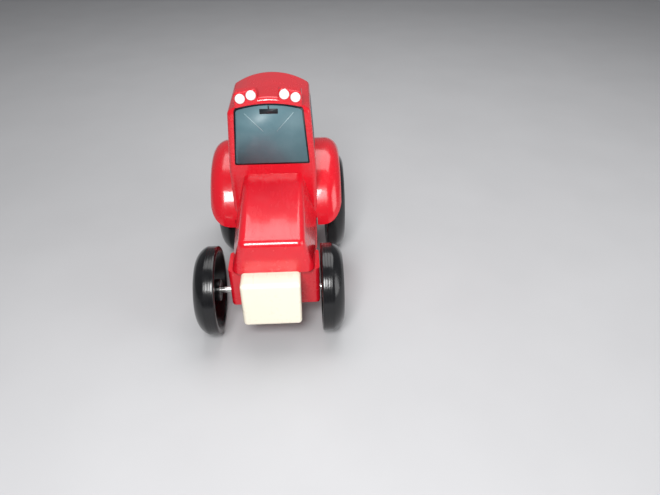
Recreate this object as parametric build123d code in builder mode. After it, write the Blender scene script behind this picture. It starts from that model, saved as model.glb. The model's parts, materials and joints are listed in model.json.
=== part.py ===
"""Small toy tractor that follows a line: a red two-piece body on four black wheels.

Frame: millimetres, +Z up, the nose points along -Y, the ground is Z = 0 and the
origin is the middle of the footprint.  Every station is a distance behind the
front axle, so that the shape can be read from nose to tail.
"""

import os
from math import acos, cos, pi, radians, sin, tan

from build123d import *

os.makedirs("parts", exist_ok=True)

# ---------------------------------------------------------------- driving sizes
WHEELBASE = 43.4
FRONT_WHEEL_R = 13.0
REAR_WHEEL_R = 17.0
FRONT_AXLE_Y = -(WHEELBASE + REAR_WHEEL_R - FRONT_WHEEL_R) / 2
REAR_AXLE_Y = FRONT_AXLE_Y + WHEELBASE

WALL = 1.5                  # moulded wall thickness
RUN = 0.05                  # radial play of a shaft that turns in a hole
GAP = 0.2                   # play between separate mouldings
SPLIT_Z = 22.8              # where the upper body meets the chassis

# chassis tub: wide across the front axle and under the cab, narrow under the hood
CHASSIS_HALF = 12.85
WAIST_HALF = 10.8
WAIST = (5.3, 22.0)
CHASSIS_BOTTOM = 9.7
CHASSIS_FRONT = -4.0
CHASSIS_REAR = 52.0
FLOOR_Z = CHASSIS_BOTTOM + WALL

# hood: a wedge whose flanks lean in by the same angle all along
HOOD_FRONT = -6.0
HOOD_TOP_HALF = 8.7
HOOD_TOP_FRONT_Z = 33.5
HOOD_TOP_REAR_Z = 38.7
HOOD_FLANK = 0.27           # sideways run of the flank for each millimetre down
HOOD_RADIUS = 2.2
SEAM_RADIUS = 0.9           # along the hood's lower edges

# cab
CAB_FRONT = 23.0
CAB_REAR = 48.0
CAB_LOW_HALF = 13.1
CAB_SHOULDER_Z = 40.0
CAB_TOP_HALF = 11.8
CAB_EAVE_Z = 58.2
CAB_CROWN_FRONT_Z = 62.4
CAB_CROWN_REAR_Z = 61.8
CAB_RADIUS = 1.8
CAB_FRONT_RADIUS = 1.2
DECK_TOP_Z = 26.4           # low deck behind the cab

# fenders
FENDER_R = 21.8
FENDER_INNER = 12.2
FENDER_OUTER = 21.3
FENDER_WALL = 1.6
FENDER_BOTTOM_Z = 20.4
FENDER_SHOULDER = 5.0
FENDER_CORNER = 7.0         # lower outer corner seen from the front
FENDER_REAR_ANGLE = radians(40)

# roof lamps and the pods that carry them: X and Z of each lamp
LAMPS = ((-7.7, 62.2), (-4.6, 63.1), (4.6, 63.2), (7.7, 62.3))
LAMP_R = 1.4
LAMP_DEPTH = 0.8
POD_INNER = 2.9
POD_OUTER = 9.5
POD_INNER_Z = 65.0
POD_OUTER_Z = 63.7
POD_FOOT_Z = 59.6
POD_LENGTH = 10.0
POD_FLAT = 1.6              # level part of a pod's top before it runs down into the roof

# windows
PANEL = 0.5
PANEL_RECESS = 0.4
SCREEN_BOTTOM_Z = 41.9
SCREEN_TOP_Z = 59.3
SCREEN_BOTTOM_HALF = 11.2
SCREEN_TOP_HALF = 9.8
SCREEN_ARCH = 1.4
SIDE_WINDOW = (15.0, 12.4)
SIDE_WINDOW_STATION = 36.5
SIDE_WINDOW_Z = 50.0
REAR_WINDOW = (17.0, 12.0)
REAR_WINDOW_Z = 49.5

# wheels: both pairs have the same track and width, and rest off centre
AXLE_R = 1.0
TREAD_INNER = 14.84         # from the middle of the axle to a tread's inner edge
TREAD = 3.2
FLANK = 3.0
FLANK_BULGE = 0.3           # how far the bevelled flank swells out, along X and radially
FRONT_SHIFT = -1.47         # the loose front axle rests towards -X
REAR_SHIFT = 1.45           # the rear wheels sit towards +X on their half axles
FRONT_AXLE_Z = FRONT_WHEEL_R
REAR_AXLE_Z = REAR_WHEEL_R

# gear train of each rear wheel
MODULE = 0.3
PRESSURE_ANGLE = radians(20)
PINION_TEETH = 10
GEAR_TEETH = 36
BACKLASH = 0.07
CENTRE_PLAY = 0.05
CENTRES = MODULE * (PINION_TEETH + GEAR_TEETH) / 2 + CENTRE_PLAY
COMPOUND_ANGLE = radians(135)   # direction from the wheel axle to the gear shaft
MOTOR_ANGLE = radians(180)      # direction from the gear shaft to the motor
INNER_GEARS = (7.2, 9.1)        # span of the final gear pair along X
OUTER_GEARS = (9.5, 11.0)       # span of the motor gear pair along X
COMPOUND_Y = REAR_AXLE_Y + CENTRES * cos(COMPOUND_ANGLE)
COMPOUND_Z = REAR_AXLE_Z + CENTRES * sin(COMPOUND_ANGLE)
MOTOR_Y = COMPOUND_Y + CENTRES * cos(MOTOR_ANGLE)
MOTOR_Z = COMPOUND_Z + CENTRES * sin(MOTOR_ANGLE)
GEAR_SHAFT_R = 0.6
MOTOR_SHAFT_R = 0.5
MOTOR_R = 3.0
MOTOR_SPAN = (0.4, 9.0)

# nose block
NOSE_X = -0.75
NOSE_HALF = 8.2
NOSE_FRONT = -12.0
NOSE_BOTTOM = 9.3
NOSE_TOP = 23.8
NOSE_STEP_Z = 22.4

# cells, board, switch
CELL_R = 5.8
CELL_THICK = 5.4
CELL_Y = 14.0
CELL_Z = 17.0
BOARD_BOTTOM_Z = 23.7
BOARD_THICK = 1.0
BOARD_SPAN = (7.4, 21.4)
BOARD_HALF = 8.2
BOARD_POSTS = ((-6.0, 9.4), (6.0, 19.4))

# fasteners: X and station of the screws that join the body to the chassis
BODY_SCREWS = ((-5.5, 4.6), (5.5, 4.6), (-4.5, 48.2), (4.5, 48.2))
BOSS_R = 2.2
HEAD_SEAT_Z = 17.0
SCREW_R = 0.85
PILOT_R = 0.9
POST_R = 1.7


# ---------------------------------------------------------------- helpers
def station(distance):
    """Y of a point the given distance behind the front axle."""
    return FRONT_AXLE_Y + distance


def cross_plane(distance):
    """Plane across the tractor: its x is X, its y is Z and it faces the nose."""
    return Plane(origin=(0, station(distance), 0), x_dir=(1, 0, 0), z_dir=(0, -1, 0))


def side_plane(x):
    """Plane along the tractor: its x is Y, its y is Z and it faces +X."""
    return Plane.YZ.offset(x)


def save(builder, name):
    """Label a finished piece and write its file."""
    builder.part.label = name
    export_step(builder.part, f"parts/{name}.step")


def block(x_span, y_span, z_span, mode=Mode.ADD):
    """Box between two values on each axis, in the part being built."""
    spans = (x_span, y_span, z_span)
    middle = tuple((start + end) / 2 for start, end in spans)
    with Locations(middle):
        Box(*(abs(end - start) for start, end in spans), mode=mode)


def post(x, y, z_span, radius, mode=Mode.ADD):
    """Upright cylinder between two heights, in the part being built."""
    with Locations((x, y, sum(z_span) / 2)):
        Cylinder(radius, z_span[1] - z_span[0], mode=mode)


def bar(y, z, x_span, radius, mode=Mode.ADD):
    """Cylinder along X between two values, in the part being built."""
    with BuildSketch(side_plane(x_span[0])) as face:
        with Locations((y, z)):
            Circle(radius)
    extrude(face.sketch, amount=x_span[1] - x_span[0], mode=mode)


def spread(side, span):
    """The span mirrored to the given side of the tractor."""
    return (side * span[0], side * span[1])


def hood_top_z(distance):
    """Height of the hood's top face at a station."""
    slope = (HOOD_TOP_REAR_Z - HOOD_TOP_FRONT_Z) / (CAB_FRONT - HOOD_FRONT)
    return HOOD_TOP_FRONT_Z + slope * (distance - HOOD_FRONT)


# ---------------------------------------------------------------- upper body
def hood_face(distance, inset):
    """Cross-section of the hood, pulled in by the inset on its top and flanks."""
    top = hood_top_z(distance) - inset
    top_half = HOOD_TOP_HALF - inset
    low_half = top_half + HOOD_FLANK * (top - SPLIT_Z)
    with BuildSketch(cross_plane(distance)) as face:
        with BuildLine():
            Polyline(
                (-low_half, SPLIT_Z),
                (-top_half, top),
                (top_half, top),
                (low_half, SPLIT_Z),
                close=True,
            )
        make_face()
    return face.sketch


def cab_face(distance, crown_z, inset):
    """Cross-section of the cab: upright, then leaning in to an arched roof."""
    low = CAB_LOW_HALF - inset
    top = CAB_TOP_HALF - inset
    eave = CAB_EAVE_Z - inset
    with BuildSketch(cross_plane(distance)) as face:
        with BuildLine():
            Polyline(
                (-top, eave),
                (-low, CAB_SHOULDER_Z),
                (-low, SPLIT_Z),
                (low, SPLIT_Z),
                (low, CAB_SHOULDER_Z),
                (top, eave),
            )
            ThreePointArc((top, eave), (0, crown_z - inset), (-top, eave))
        make_face()
    return face.sketch


def is_lengthways(edge):
    """True for an edge that runs along the tractor."""
    return edge.bounding_box().size.Y > 5


def is_outermost(edge):
    """True for an edge on the chassis's widest sides."""
    return abs(edge.center().X) > CHASSIS_HALF - 0.1


def is_above_split(edge):
    """True for an edge that isn't on the seam with the chassis."""
    return edge.center().Z > SPLIT_Z + 1


with BuildPart() as hood_form:
    loft(sections=[hood_face(HOOD_FRONT, 0), hood_face(CAB_FRONT + WALL, 0)], ruled=True)
    top_edges = hood_form.edges().filter_by(is_lengthways).filter_by(is_above_split)
    nose_face = hood_form.faces().sort_by(Axis.Y)[0]
    fillet(top_edges + nose_face.edges().filter_by(is_above_split), radius=HOOD_RADIUS)
    low_edges = hood_form.edges().group_by(Axis.Z)[0].sort_by(Axis.Y)[:-1]
    fillet(low_edges, radius=SEAM_RADIUS)

with BuildPart() as cab_form:
    loft(
        sections=[
            cab_face(CAB_FRONT, CAB_CROWN_FRONT_Z, 0),
            cab_face(CAB_REAR, CAB_CROWN_REAR_Z, 0),
        ],
        ruled=True,
    )
    eave_edges = cab_form.edges().filter_by(is_lengthways).group_by(Axis.Z)[-1]
    fillet(eave_edges, radius=CAB_RADIUS)
    rear_edges = cab_form.edges().group_by(Axis.Y)[-1].filter_by(is_above_split)
    fillet(rear_edges, radius=CAB_RADIUS * 0.8)
    front_edges = cab_form.edges().group_by(Axis.Y)[0].filter_by(is_above_split)
    fillet(front_edges, radius=CAB_FRONT_RADIUS)


def fender_form(side):
    """Solid fender: a thick disc, rounded on its outer edge and cut level below."""
    with BuildPart() as form:
        bar(REAR_AXLE_Y, REAR_AXLE_Z, (side * FENDER_INNER, side * FENDER_OUTER), FENDER_R)
        rim = form.edges().filter_by(GeomType.CIRCLE).sort_by(Axis.X)[-1 if side > 0 else 0]
        fillet(rim, radius=FENDER_SHOULDER)
        # level, rounded lower end in front
        with BuildSketch(cross_plane(CHASSIS_REAR + 20)) as front_view:
            with BuildLine():
                Polyline(
                    (side * FENDER_INNER, FENDER_BOTTOM_Z),
                    (side * FENDER_INNER, REAR_AXLE_Z + FENDER_R),
                    (side * FENDER_OUTER, REAR_AXLE_Z + FENDER_R),
                    (side * FENDER_OUTER, FENDER_BOTTOM_Z),
                    close=True,
                )
            make_face()
            fillet(
                front_view.vertices().sort_by_distance((side * FENDER_OUTER, FENDER_BOTTOM_Z))[:1],
                radius=FENDER_CORNER,
            )
        extrude(front_view.sketch, amount=CHASSIS_REAR + 40, mode=Mode.INTERSECT)
        # radial rear end
        reach = 2 * FENDER_R
        with BuildSketch(side_plane(side * FENDER_INNER)) as rear_end:
            with BuildLine():
                Polyline(
                    (REAR_AXLE_Y, REAR_AXLE_Z),
                    (
                        REAR_AXLE_Y + reach * cos(FENDER_REAR_ANGLE),
                        REAR_AXLE_Z + reach * sin(FENDER_REAR_ANGLE),
                    ),
                    (REAR_AXLE_Y + reach, REAR_AXLE_Z - reach),
                    (REAR_AXLE_Y, REAR_AXLE_Z - reach),
                    close=True,
                )
            make_face()
        extrude(rear_end.sketch, amount=side * 20, mode=Mode.SUBTRACT)
    return form.part


def wheel_arch(side):
    """Room for a rear wheel inside a fender, open below."""
    inner = side * (CAB_LOW_HALF + 0.1)
    outer = side * (FENDER_OUTER - FENDER_WALL)
    with BuildPart() as room:
        bar(REAR_AXLE_Y, REAR_AXLE_Z, (inner, outer), FENDER_R - FENDER_WALL)
        rim = room.edges().filter_by(GeomType.CIRCLE).sort_by(Axis.X)[-1 if side > 0 else 0]
        fillet(rim, radius=FENDER_SHOULDER - FENDER_WALL)
        bar(REAR_AXLE_Y, REAR_AXLE_Z, (inner, side * (FENDER_OUTER + 5)), REAR_WHEEL_R + 1.3)
    return room.part


def pod_form(side):
    """Raised pod on the roof's front edge that carries two lamps and fades into the roof."""
    with BuildPart() as pod:
        with BuildSketch(cross_plane(CAB_FRONT)) as outline:
            with BuildLine():
                Polyline(
                    (side * POD_INNER, POD_FOOT_Z),
                    (side * POD_INNER, POD_INNER_Z),
                    (side * POD_OUTER, POD_OUTER_Z),
                    (side * POD_OUTER, POD_FOOT_Z),
                    close=True,
                )
            make_face()
            fillet(outline.vertices().sort_by(Axis.Y)[-2:], radius=1.1)
        extrude(outline.sketch, amount=-POD_LENGTH)
        with BuildSketch(side_plane(side * POD_INNER)) as ramp:
            with BuildLine():
                Polyline(
                    (station(CAB_FRONT + POD_FLAT), POD_INNER_Z),
                    (station(CAB_FRONT + POD_LENGTH), POD_FOOT_Z),
                    (station(CAB_FRONT + POD_LENGTH), POD_INNER_Z + 1),
                    (station(CAB_FRONT + POD_FLAT), POD_INNER_Z + 1),
                    close=True,
                )
            make_face()
        extrude(ramp.sketch, amount=side * 2 * POD_OUTER, mode=Mode.SUBTRACT)
        top = pod.edges().group_by(Axis.Y)[0].filter_by(lambda e: e.center().Z > POD_FOOT_Z + 0.5)
        fillet(top, radius=0.4)
    return pod.part


def screen_outline(plane, play):
    """Windscreen outline on a plane across the tractor: tapered, with an arched top."""
    bottom = SCREEN_BOTTOM_HALF - play
    top = SCREEN_TOP_HALF - play
    with BuildSketch(plane) as outline:
        with BuildLine():
            Polyline(
                (-top, SCREEN_TOP_Z - play),
                (-bottom, SCREEN_BOTTOM_Z + play),
                (bottom, SCREEN_BOTTOM_Z + play),
                (top, SCREEN_TOP_Z - play),
            )
            ThreePointArc(
                (top, SCREEN_TOP_Z - play),
                (0, SCREEN_TOP_Z + SCREEN_ARCH - play),
                (-top, SCREEN_TOP_Z - play),
            )
        make_face()
        fillet(outline.vertices().sort_by(Axis.Y)[-2:], radius=1.3)
        fillet(outline.vertices().sort_by(Axis.Y)[:2], radius=0.5)
    return outline.sketch


def side_window_plane(side, depth):
    """Plane on a leaning cab side, at the window's middle; its y points up the side."""
    lean = (CAB_LOW_HALF - CAB_TOP_HALF) / (CAB_EAVE_Z - CAB_SHOULDER_Z)
    x = CAB_LOW_HALF - lean * (SIDE_WINDOW_Z - CAB_SHOULDER_Z) - depth
    return Plane(
        origin=(side * x, station(SIDE_WINDOW_STATION), SIDE_WINDOW_Z),
        x_dir=(0, side, 0),
        z_dir=(side, 0, lean),
    )


def window_outline(plane, size, play):
    """Rounded window outline centred on a plane."""
    with BuildSketch(plane) as outline:
        RectangleRounded(size[0] - 2 * play, size[1] - 2 * play, 1.6)
    return outline.sketch


REAR_PLANE = Plane(
    origin=(0, station(CAB_REAR), REAR_WINDOW_Z),
    x_dir=(-1, 0, 0),
    z_dir=(0, 1, 0),
)

with BuildPart() as upper_body:
    add(hood_form.part)
    add(cab_form.part)
    for side in (-1, 1):
        add(fender_form(side))
        add(pod_form(side))
    block(
        (-CAB_LOW_HALF, CAB_LOW_HALF),
        (station(CAB_REAR - 3), station(CHASSIS_REAR)),
        (SPLIT_Z, DECK_TOP_Z),
    )
    for side in (-1, 1):
        add(wheel_arch(side), mode=Mode.SUBTRACT)
    block((-CAB_LOW_HALF, CAB_LOW_HALF), (-60, 60), (0, SPLIT_Z), mode=Mode.SUBTRACT)
    # hollow inside
    loft(
        sections=[hood_face(CHASSIS_FRONT + WALL, WALL), hood_face(CAB_FRONT + 2 * WALL, WALL)],
        ruled=True,
        mode=Mode.SUBTRACT,
    )
    loft(
        sections=[
            cab_face(CAB_FRONT + WALL, CAB_CROWN_FRONT_Z, WALL),
            cab_face(CAB_REAR - WALL, CAB_CROWN_REAR_Z, WALL),
        ],
        ruled=True,
        mode=Mode.SUBTRACT,
    )
    block(
        (-CAB_LOW_HALF + WALL, CAB_LOW_HALF - WALL),
        (station(CAB_REAR - 3), station(CHASSIS_REAR) - WALL),
        (SPLIT_Z, DECK_TOP_Z - WALL),
        mode=Mode.SUBTRACT,
    )
    # posts for the body screws and for the board
    for x, distance in BODY_SCREWS[:2]:
        post(x, station(distance), (SPLIT_Z, hood_top_z(distance) - 1), POST_R)
        post(x, station(distance), (SPLIT_Z, SPLIT_Z + 6.5), PILOT_R, mode=Mode.SUBTRACT)
    for x, distance in BODY_SCREWS[2:]:
        post(x, station(distance), (SPLIT_Z, DECK_TOP_Z - 1), POST_R)
        post(x, station(distance), (SPLIT_Z, SPLIT_Z + 2.4), PILOT_R, mode=Mode.SUBTRACT)
    for x, distance in BOARD_POSTS:
        post(x, station(distance), (BOARD_BOTTOM_Z + BOARD_THICK, hood_top_z(distance) - 1), 1.2)
        post(x, station(distance), (BOARD_BOTTOM_Z, BOARD_BOTTOM_Z + 4.5), 0.55, mode=Mode.SUBTRACT)
    # recesses for the windows and the lamps
    extrude(screen_outline(cross_plane(CAB_FRONT), 0), amount=-PANEL_RECESS, mode=Mode.SUBTRACT)
    for side in (-1, 1):
        extrude(
            window_outline(side_window_plane(side, 0), SIDE_WINDOW, 0),
            amount=-PANEL_RECESS,
            mode=Mode.SUBTRACT,
        )
    extrude(window_outline(REAR_PLANE, REAR_WINDOW, 0), amount=-PANEL_RECESS, mode=Mode.SUBTRACT)
    with BuildSketch(cross_plane(CAB_FRONT)):
        with Locations(LAMPS):
            Circle(LAMP_R + RUN)
    extrude(amount=-LAMP_DEPTH, mode=Mode.SUBTRACT)
save(upper_body, "upper_body")


# ---------------------------------------------------------------- windows and lamps
with BuildPart() as windscreen:
    extrude(screen_outline(cross_plane(CAB_FRONT + PANEL_RECESS), 0.05), amount=PANEL)
save(windscreen, "windscreen")

for side, word in ((-1, "left"), (1, "right")):
    with BuildPart() as side_window:
        extrude(window_outline(side_window_plane(side, PANEL_RECESS), SIDE_WINDOW, 0.05), amount=PANEL)
    save(side_window, f"side_window_{word}")

with BuildPart() as rear_window:
    extrude(window_outline(REAR_PLANE.offset(-PANEL_RECESS), REAR_WINDOW, 0.05), amount=PANEL)
save(rear_window, "rear_window")

for number, (x, z) in enumerate(LAMPS, start=1):
    with BuildPart() as lamp:
        with BuildSketch(cross_plane(CAB_FRONT + LAMP_DEPTH)):
            with Locations((x, z)):
                Circle(LAMP_R)
        extrude(amount=LAMP_DEPTH + 0.35)
        fillet(lamp.edges().group_by(Axis.Y)[0], radius=0.3)
    save(lamp, f"work_lamp_{number}")

# ---------------------------------------------------------------- chassis
CHASSIS_RADIUS = 1.2
DOOR_HALF = 8.6
DOOR_SPAN = (7.4, 20.8)
DOOR_HINGE_R = 0.45
DOOR_EDGE_R = 0.65
DOOR_HINGE_Y = DOOR_SPAN[0] + DOOR_EDGE_R + GAP
DOOR_HINGE_Z = CHASSIS_BOTTOM + WALL / 2
DOOR_PIN_REACH = 1.2
SWITCH_STATION = 24.3
SWITCH_SLOT = (4.4, 2.2)
KNOB = (1.6, 1.8)
KNOB_TRAVEL = 2.0
KNOB_BELOW = 0.8
HITCH_STATION = 57.0
HITCH_R = 1.2
HITCH_SPAN = (11.0, 12.6)
PEG_X = 5.0
PEG_Z = 18.5
PEG_R = 1.0

with BuildPart() as lower_chassis:
    block(
        (-CHASSIS_HALF, CHASSIS_HALF),
        (station(CHASSIS_FRONT), station(CHASSIS_REAR)),
        (CHASSIS_BOTTOM, SPLIT_Z),
    )
    for side in (-1, 1):
        block(
            spread(side, (WAIST_HALF, CHASSIS_HALF + 1)),
            (station(WAIST[0]), station(WAIST[1])),
            (CHASSIS_BOTTOM - 1, SPLIT_Z + 1),
            mode=Mode.SUBTRACT,
        )
    outer_edges = lower_chassis.edges().filter_by(Axis.Z).filter_by(is_outermost)
    bottom_edges = lower_chassis.edges().group_by(Axis.Z)[0]
    fillet(bottom_edges + outer_edges, radius=CHASSIS_RADIUS)
    block(
        (-WAIST_HALF + WALL, WAIST_HALF - WALL),
        (station(CHASSIS_FRONT) + WALL, station(CHASSIS_REAR) - WALL),
        (FLOOR_Z, SPLIT_Z),
        mode=Mode.SUBTRACT,
    )
    block(
        (-CHASSIS_HALF + WALL, CHASSIS_HALF - WALL),
        (station(WAIST[1]) + WALL, station(CHASSIS_REAR) - WALL),
        (FLOOR_Z, SPLIT_Z),
        mode=Mode.SUBTRACT,
    )
    # screw bosses, open below for the screw heads
    for x, distance in BODY_SCREWS:
        post(x, station(distance), (CHASSIS_BOTTOM + 0.5, SPLIT_Z), BOSS_R)
        post(x, station(distance), (CHASSIS_BOTTOM, HEAD_SEAT_Z), BOSS_R - 0.6, mode=Mode.SUBTRACT)
        post(x, station(distance), (HEAD_SEAT_Z, SPLIT_Z), SCREW_R + 0.15, mode=Mode.SUBTRACT)
    # axle holes
    for y, z in ((station(0), FRONT_AXLE_Z), (REAR_AXLE_Y, REAR_AXLE_Z)):
        bar(y, z, (-CHASSIS_HALF - 1, CHASSIS_HALF + 1), AXLE_R + RUN, mode=Mode.SUBTRACT)
    # battery opening with a hole each side for the door's hinge pins
    block(
        (-DOOR_HALF - GAP, DOOR_HALF + GAP),
        (station(DOOR_SPAN[0]), station(DOOR_SPAN[1]) + GAP),
        (CHASSIS_BOTTOM - 1, FLOOR_Z),
        mode=Mode.SUBTRACT,
    )
    bar(
        station(DOOR_HINGE_Y),
        DOOR_HINGE_Z,
        (-DOOR_HALF - DOOR_PIN_REACH - 2 * GAP, DOOR_HALF + DOOR_PIN_REACH + 2 * GAP),
        DOOR_HINGE_R + RUN,
        mode=Mode.SUBTRACT,
    )
    # slot for the switch knob
    block(
        (-SWITCH_SLOT[0] / 2, SWITCH_SLOT[0] / 2),
        (station(SWITCH_STATION) - SWITCH_SLOT[1] / 2, station(SWITCH_STATION) + SWITCH_SLOT[1] / 2),
        (CHASSIS_BOTTOM - 1, FLOOR_Z),
        mode=Mode.SUBTRACT,
    )
    # holes for the nose block's pegs
    for x in (NOSE_X - PEG_X, NOSE_X + PEG_X):
        with BuildSketch(cross_plane(CHASSIS_FRONT + WALL + 1)):
            with Locations((x, PEG_Z)):
                Circle(PEG_R)
        extrude(amount=WALL + 2, mode=Mode.SUBTRACT)
    # drawbar with its hitch hole
    with BuildSketch(Plane.XY.offset(HITCH_SPAN[0])):
        with BuildLine():
            Polyline(
                (-4.0, station(CHASSIS_REAR - 1)),
                (-2.6, station(HITCH_STATION)),
                (2.6, station(HITCH_STATION)),
                (4.0, station(CHASSIS_REAR - 1)),
                close=True,
            )
        make_face()
        with Locations((0, station(HITCH_STATION))):
            Circle(2.6)
    extrude(amount=HITCH_SPAN[1] - HITCH_SPAN[0])
    post(0, station(HITCH_STATION), (5, 15), HITCH_R, mode=Mode.SUBTRACT)
save(lower_chassis, "lower_chassis")

with BuildPart() as battery_door:
    block(
        (-DOOR_HALF, DOOR_HALF),
        (station(DOOR_HINGE_Y), station(DOOR_SPAN[1])),
        (DOOR_HINGE_Z - DOOR_EDGE_R, DOOR_HINGE_Z + DOOR_EDGE_R),
    )
    bar(station(DOOR_HINGE_Y), DOOR_HINGE_Z, (-DOOR_HALF, DOOR_HALF), DOOR_EDGE_R)
    bar(
        station(DOOR_HINGE_Y),
        DOOR_HINGE_Z,
        (-DOOR_HALF - DOOR_PIN_REACH, DOOR_HALF + DOOR_PIN_REACH),
        DOOR_HINGE_R,
    )
    # shallow grip ribs across the free end
    for row in range(4):
        y = station(DOOR_SPAN[1] - 1.6 - 0.9 * row)
        block((-4, 4), (y - 0.2, y + 0.2), (CHASSIS_BOTTOM - 0.1, CHASSIS_BOTTOM + 0.4))
save(battery_door, "battery_door")

with BuildPart() as body_screws:
    for index, (x, distance) in enumerate(BODY_SCREWS):
        shank_top = SPLIT_Z + (6.0 if index < 2 else 2.2)
        post(x, station(distance), (HEAD_SEAT_Z - 1.2, HEAD_SEAT_Z), BOSS_R - 0.8)
        post(x, station(distance), (HEAD_SEAT_Z, shank_top), SCREW_R)
        for width, depth in ((1.9, 0.45), (0.45, 1.9)):
            y = station(distance)
            block(
                (x - width / 2, x + width / 2),
                (y - depth / 2, y + depth / 2),
                (HEAD_SEAT_Z - 1.3, HEAD_SEAT_Z - 0.6),
                mode=Mode.SUBTRACT,
            )
save(body_screws, "body_screws")

# ---------------------------------------------------------------- nose block and line sensor
NOSE_WALL = 1.3
NOSE_RADIUS = 1.1
SENSOR_X = 3.4
SENSOR_Y = -8.0
SENSOR_PITCH = 1.3
SENSOR_BOARD_Z = 14.6
SENSOR_WINDOW_TOP = 10.9
WINDOW_SHELF = 0.7

with BuildPart() as nose_housing:
    block(
        (NOSE_X - NOSE_HALF, NOSE_X + NOSE_HALF),
        (station(NOSE_FRONT), station(CHASSIS_FRONT)),
        (NOSE_BOTTOM, NOSE_TOP),
    )
    front_edges = nose_housing.edges().group_by(Axis.Y)[0]
    upright_edges = nose_housing.edges().filter_by(Axis.Z)
    top_edges = nose_housing.edges().group_by(Axis.Z)[-1]
    bottom_edges = nose_housing.edges().group_by(Axis.Z)[0]
    rounded = [
        edge
        for edge in front_edges + upright_edges + top_edges + bottom_edges
        if edge.center().Y < station(CHASSIS_FRONT) - 0.1
    ]
    fillet(list({hash(edge): edge for edge in rounded}.values()), radius=NOSE_RADIUS)
    block((-20, 20), (station(HOOD_FRONT - 0.1), 0), (NOSE_STEP_Z, NOSE_TOP + 1), mode=Mode.SUBTRACT)
    block(
        (NOSE_X - NOSE_HALF + NOSE_WALL, NOSE_X + NOSE_HALF - NOSE_WALL),
        (station(NOSE_FRONT) + NOSE_WALL, station(CHASSIS_FRONT) - NOSE_WALL),
        (NOSE_BOTTOM - 1, NOSE_STEP_Z - NOSE_WALL),
        mode=Mode.SUBTRACT,
    )
    block(
        (NOSE_X - NOSE_HALF + WINDOW_SHELF, NOSE_X + NOSE_HALF - WINDOW_SHELF),
        (station(NOSE_FRONT) + WINDOW_SHELF, station(CHASSIS_FRONT) - WINDOW_SHELF),
        (NOSE_BOTTOM - 1, SENSOR_WINDOW_TOP),
        mode=Mode.SUBTRACT,
    )
    for x in (NOSE_X - PEG_X, NOSE_X + PEG_X):
        with BuildSketch(cross_plane(CHASSIS_FRONT + WALL + 0.4)):
            with Locations((x, PEG_Z)):
                Circle(PEG_R - 0.02)
        extrude(amount=WALL + 0.4 + NOSE_WALL)
        # post that the sensor board hangs from
        post(x, station(SENSOR_Y), (SENSOR_BOARD_Z + 0.8, NOSE_STEP_Z - 0.5), 0.9)
save(nose_housing, "nose_housing")

with BuildPart() as sensor_window:
    block(
        (NOSE_X - NOSE_HALF + WINDOW_SHELF + RUN, NOSE_X + NOSE_HALF - WINDOW_SHELF - RUN),
        (station(NOSE_FRONT) + WINDOW_SHELF + RUN, station(CHASSIS_FRONT) - WINDOW_SHELF - RUN),
        (NOSE_BOTTOM + 0.2, SENSOR_WINDOW_TOP),
    )
save(sensor_window, "sensor_window")

with BuildPart() as sensor_board:
    block(
        (NOSE_X - NOSE_HALF + NOSE_WALL + GAP, NOSE_X + NOSE_HALF - NOSE_WALL - GAP),
        (station(NOSE_FRONT) + NOSE_WALL + GAP, station(CHASSIS_FRONT) - NOSE_WALL - GAP),
        (SENSOR_BOARD_Z, SENSOR_BOARD_Z + 0.8),
    )
save(sensor_board, "sensor_board")

SENSORS = (
    ("ir_emitter_left", -SENSOR_X, 1.0),
    ("ir_emitter_right", SENSOR_X, 1.0),
    ("ir_receiver_left", -SENSOR_X, -1.0),
    ("ir_receiver_right", SENSOR_X, -1.0),
)
for name, x_shift, forward in SENSORS:
    x = NOSE_X + x_shift
    y = station(SENSOR_Y - SENSOR_PITCH * forward)
    with BuildPart() as sensor:
        post(x, y, (SENSOR_BOARD_Z - 0.7, SENSOR_BOARD_Z), 1.25)
        post(x, y, (SENSOR_BOARD_Z - 2.0, SENSOR_BOARD_Z - 0.7), 1.0)
        with Locations((x, y, SENSOR_BOARD_Z - 2.0)):
            Sphere(1.0)
    save(sensor, name)

# ---------------------------------------------------------------- wheels
def wheel_half(radius, bore):
    """Half-section of a wheel: x runs outwards from the tread's inner edge, y is the radius."""
    outer = TREAD + FLANK
    face_r = radius - FLANK
    web = TREAD + 0.5
    with BuildSketch(Plane.XY) as half:
        with BuildLine():
            Polyline(
                (outer, face_r),
                (outer, face_r - 0.9),
                (outer - 1.3, face_r - 1.6),
                (outer - 1.3, 3.6),
                (outer - 0.5, 3.0),
                (outer - 0.5, 2.2),
                (outer - 0.9, 2.2),
                (outer - 0.9, bore),
                (0.0, bore),
                (0.0, 3.2),
                (web, 3.2),
                (web, face_r - 1.2),
                (0.5, radius - 2.0),
                (0.0, radius - 1.5),
                (0.0, radius - 0.3),
                (0.3, radius),
                (TREAD, radius),
            )
            ThreePointArc(
                (TREAD, radius),
                (TREAD + FLANK / 2 + FLANK_BULGE, radius - FLANK / 2 + FLANK_BULGE),
                (outer, face_r),
            )
        make_face()
        fillet(half.vertices().sort_by_distance((outer, face_r))[:1], radius=0.4)
        fillet(half.vertices().sort_by_distance((TREAD, radius))[:1], radius=0.9)
    return half.sketch


def wheel(side, x_inner, y, z, half):
    """Wheel turned from its half-section, its tread starting at x_inner."""
    frame = Plane(origin=(x_inner, y, z), x_dir=(side, 0, 0), z_dir=(0, -side, 0))
    with BuildPart() as turned:
        add(frame * half)
        revolve(axis=Axis((x_inner, y, z), (side, 0, 0)))
    return turned


FRONT_HALF = wheel_half(FRONT_WHEEL_R, AXLE_R + RUN)    # turns on its axle
REAR_HALF = wheel_half(REAR_WHEEL_R, AXLE_R)            # pressed on its axle

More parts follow.
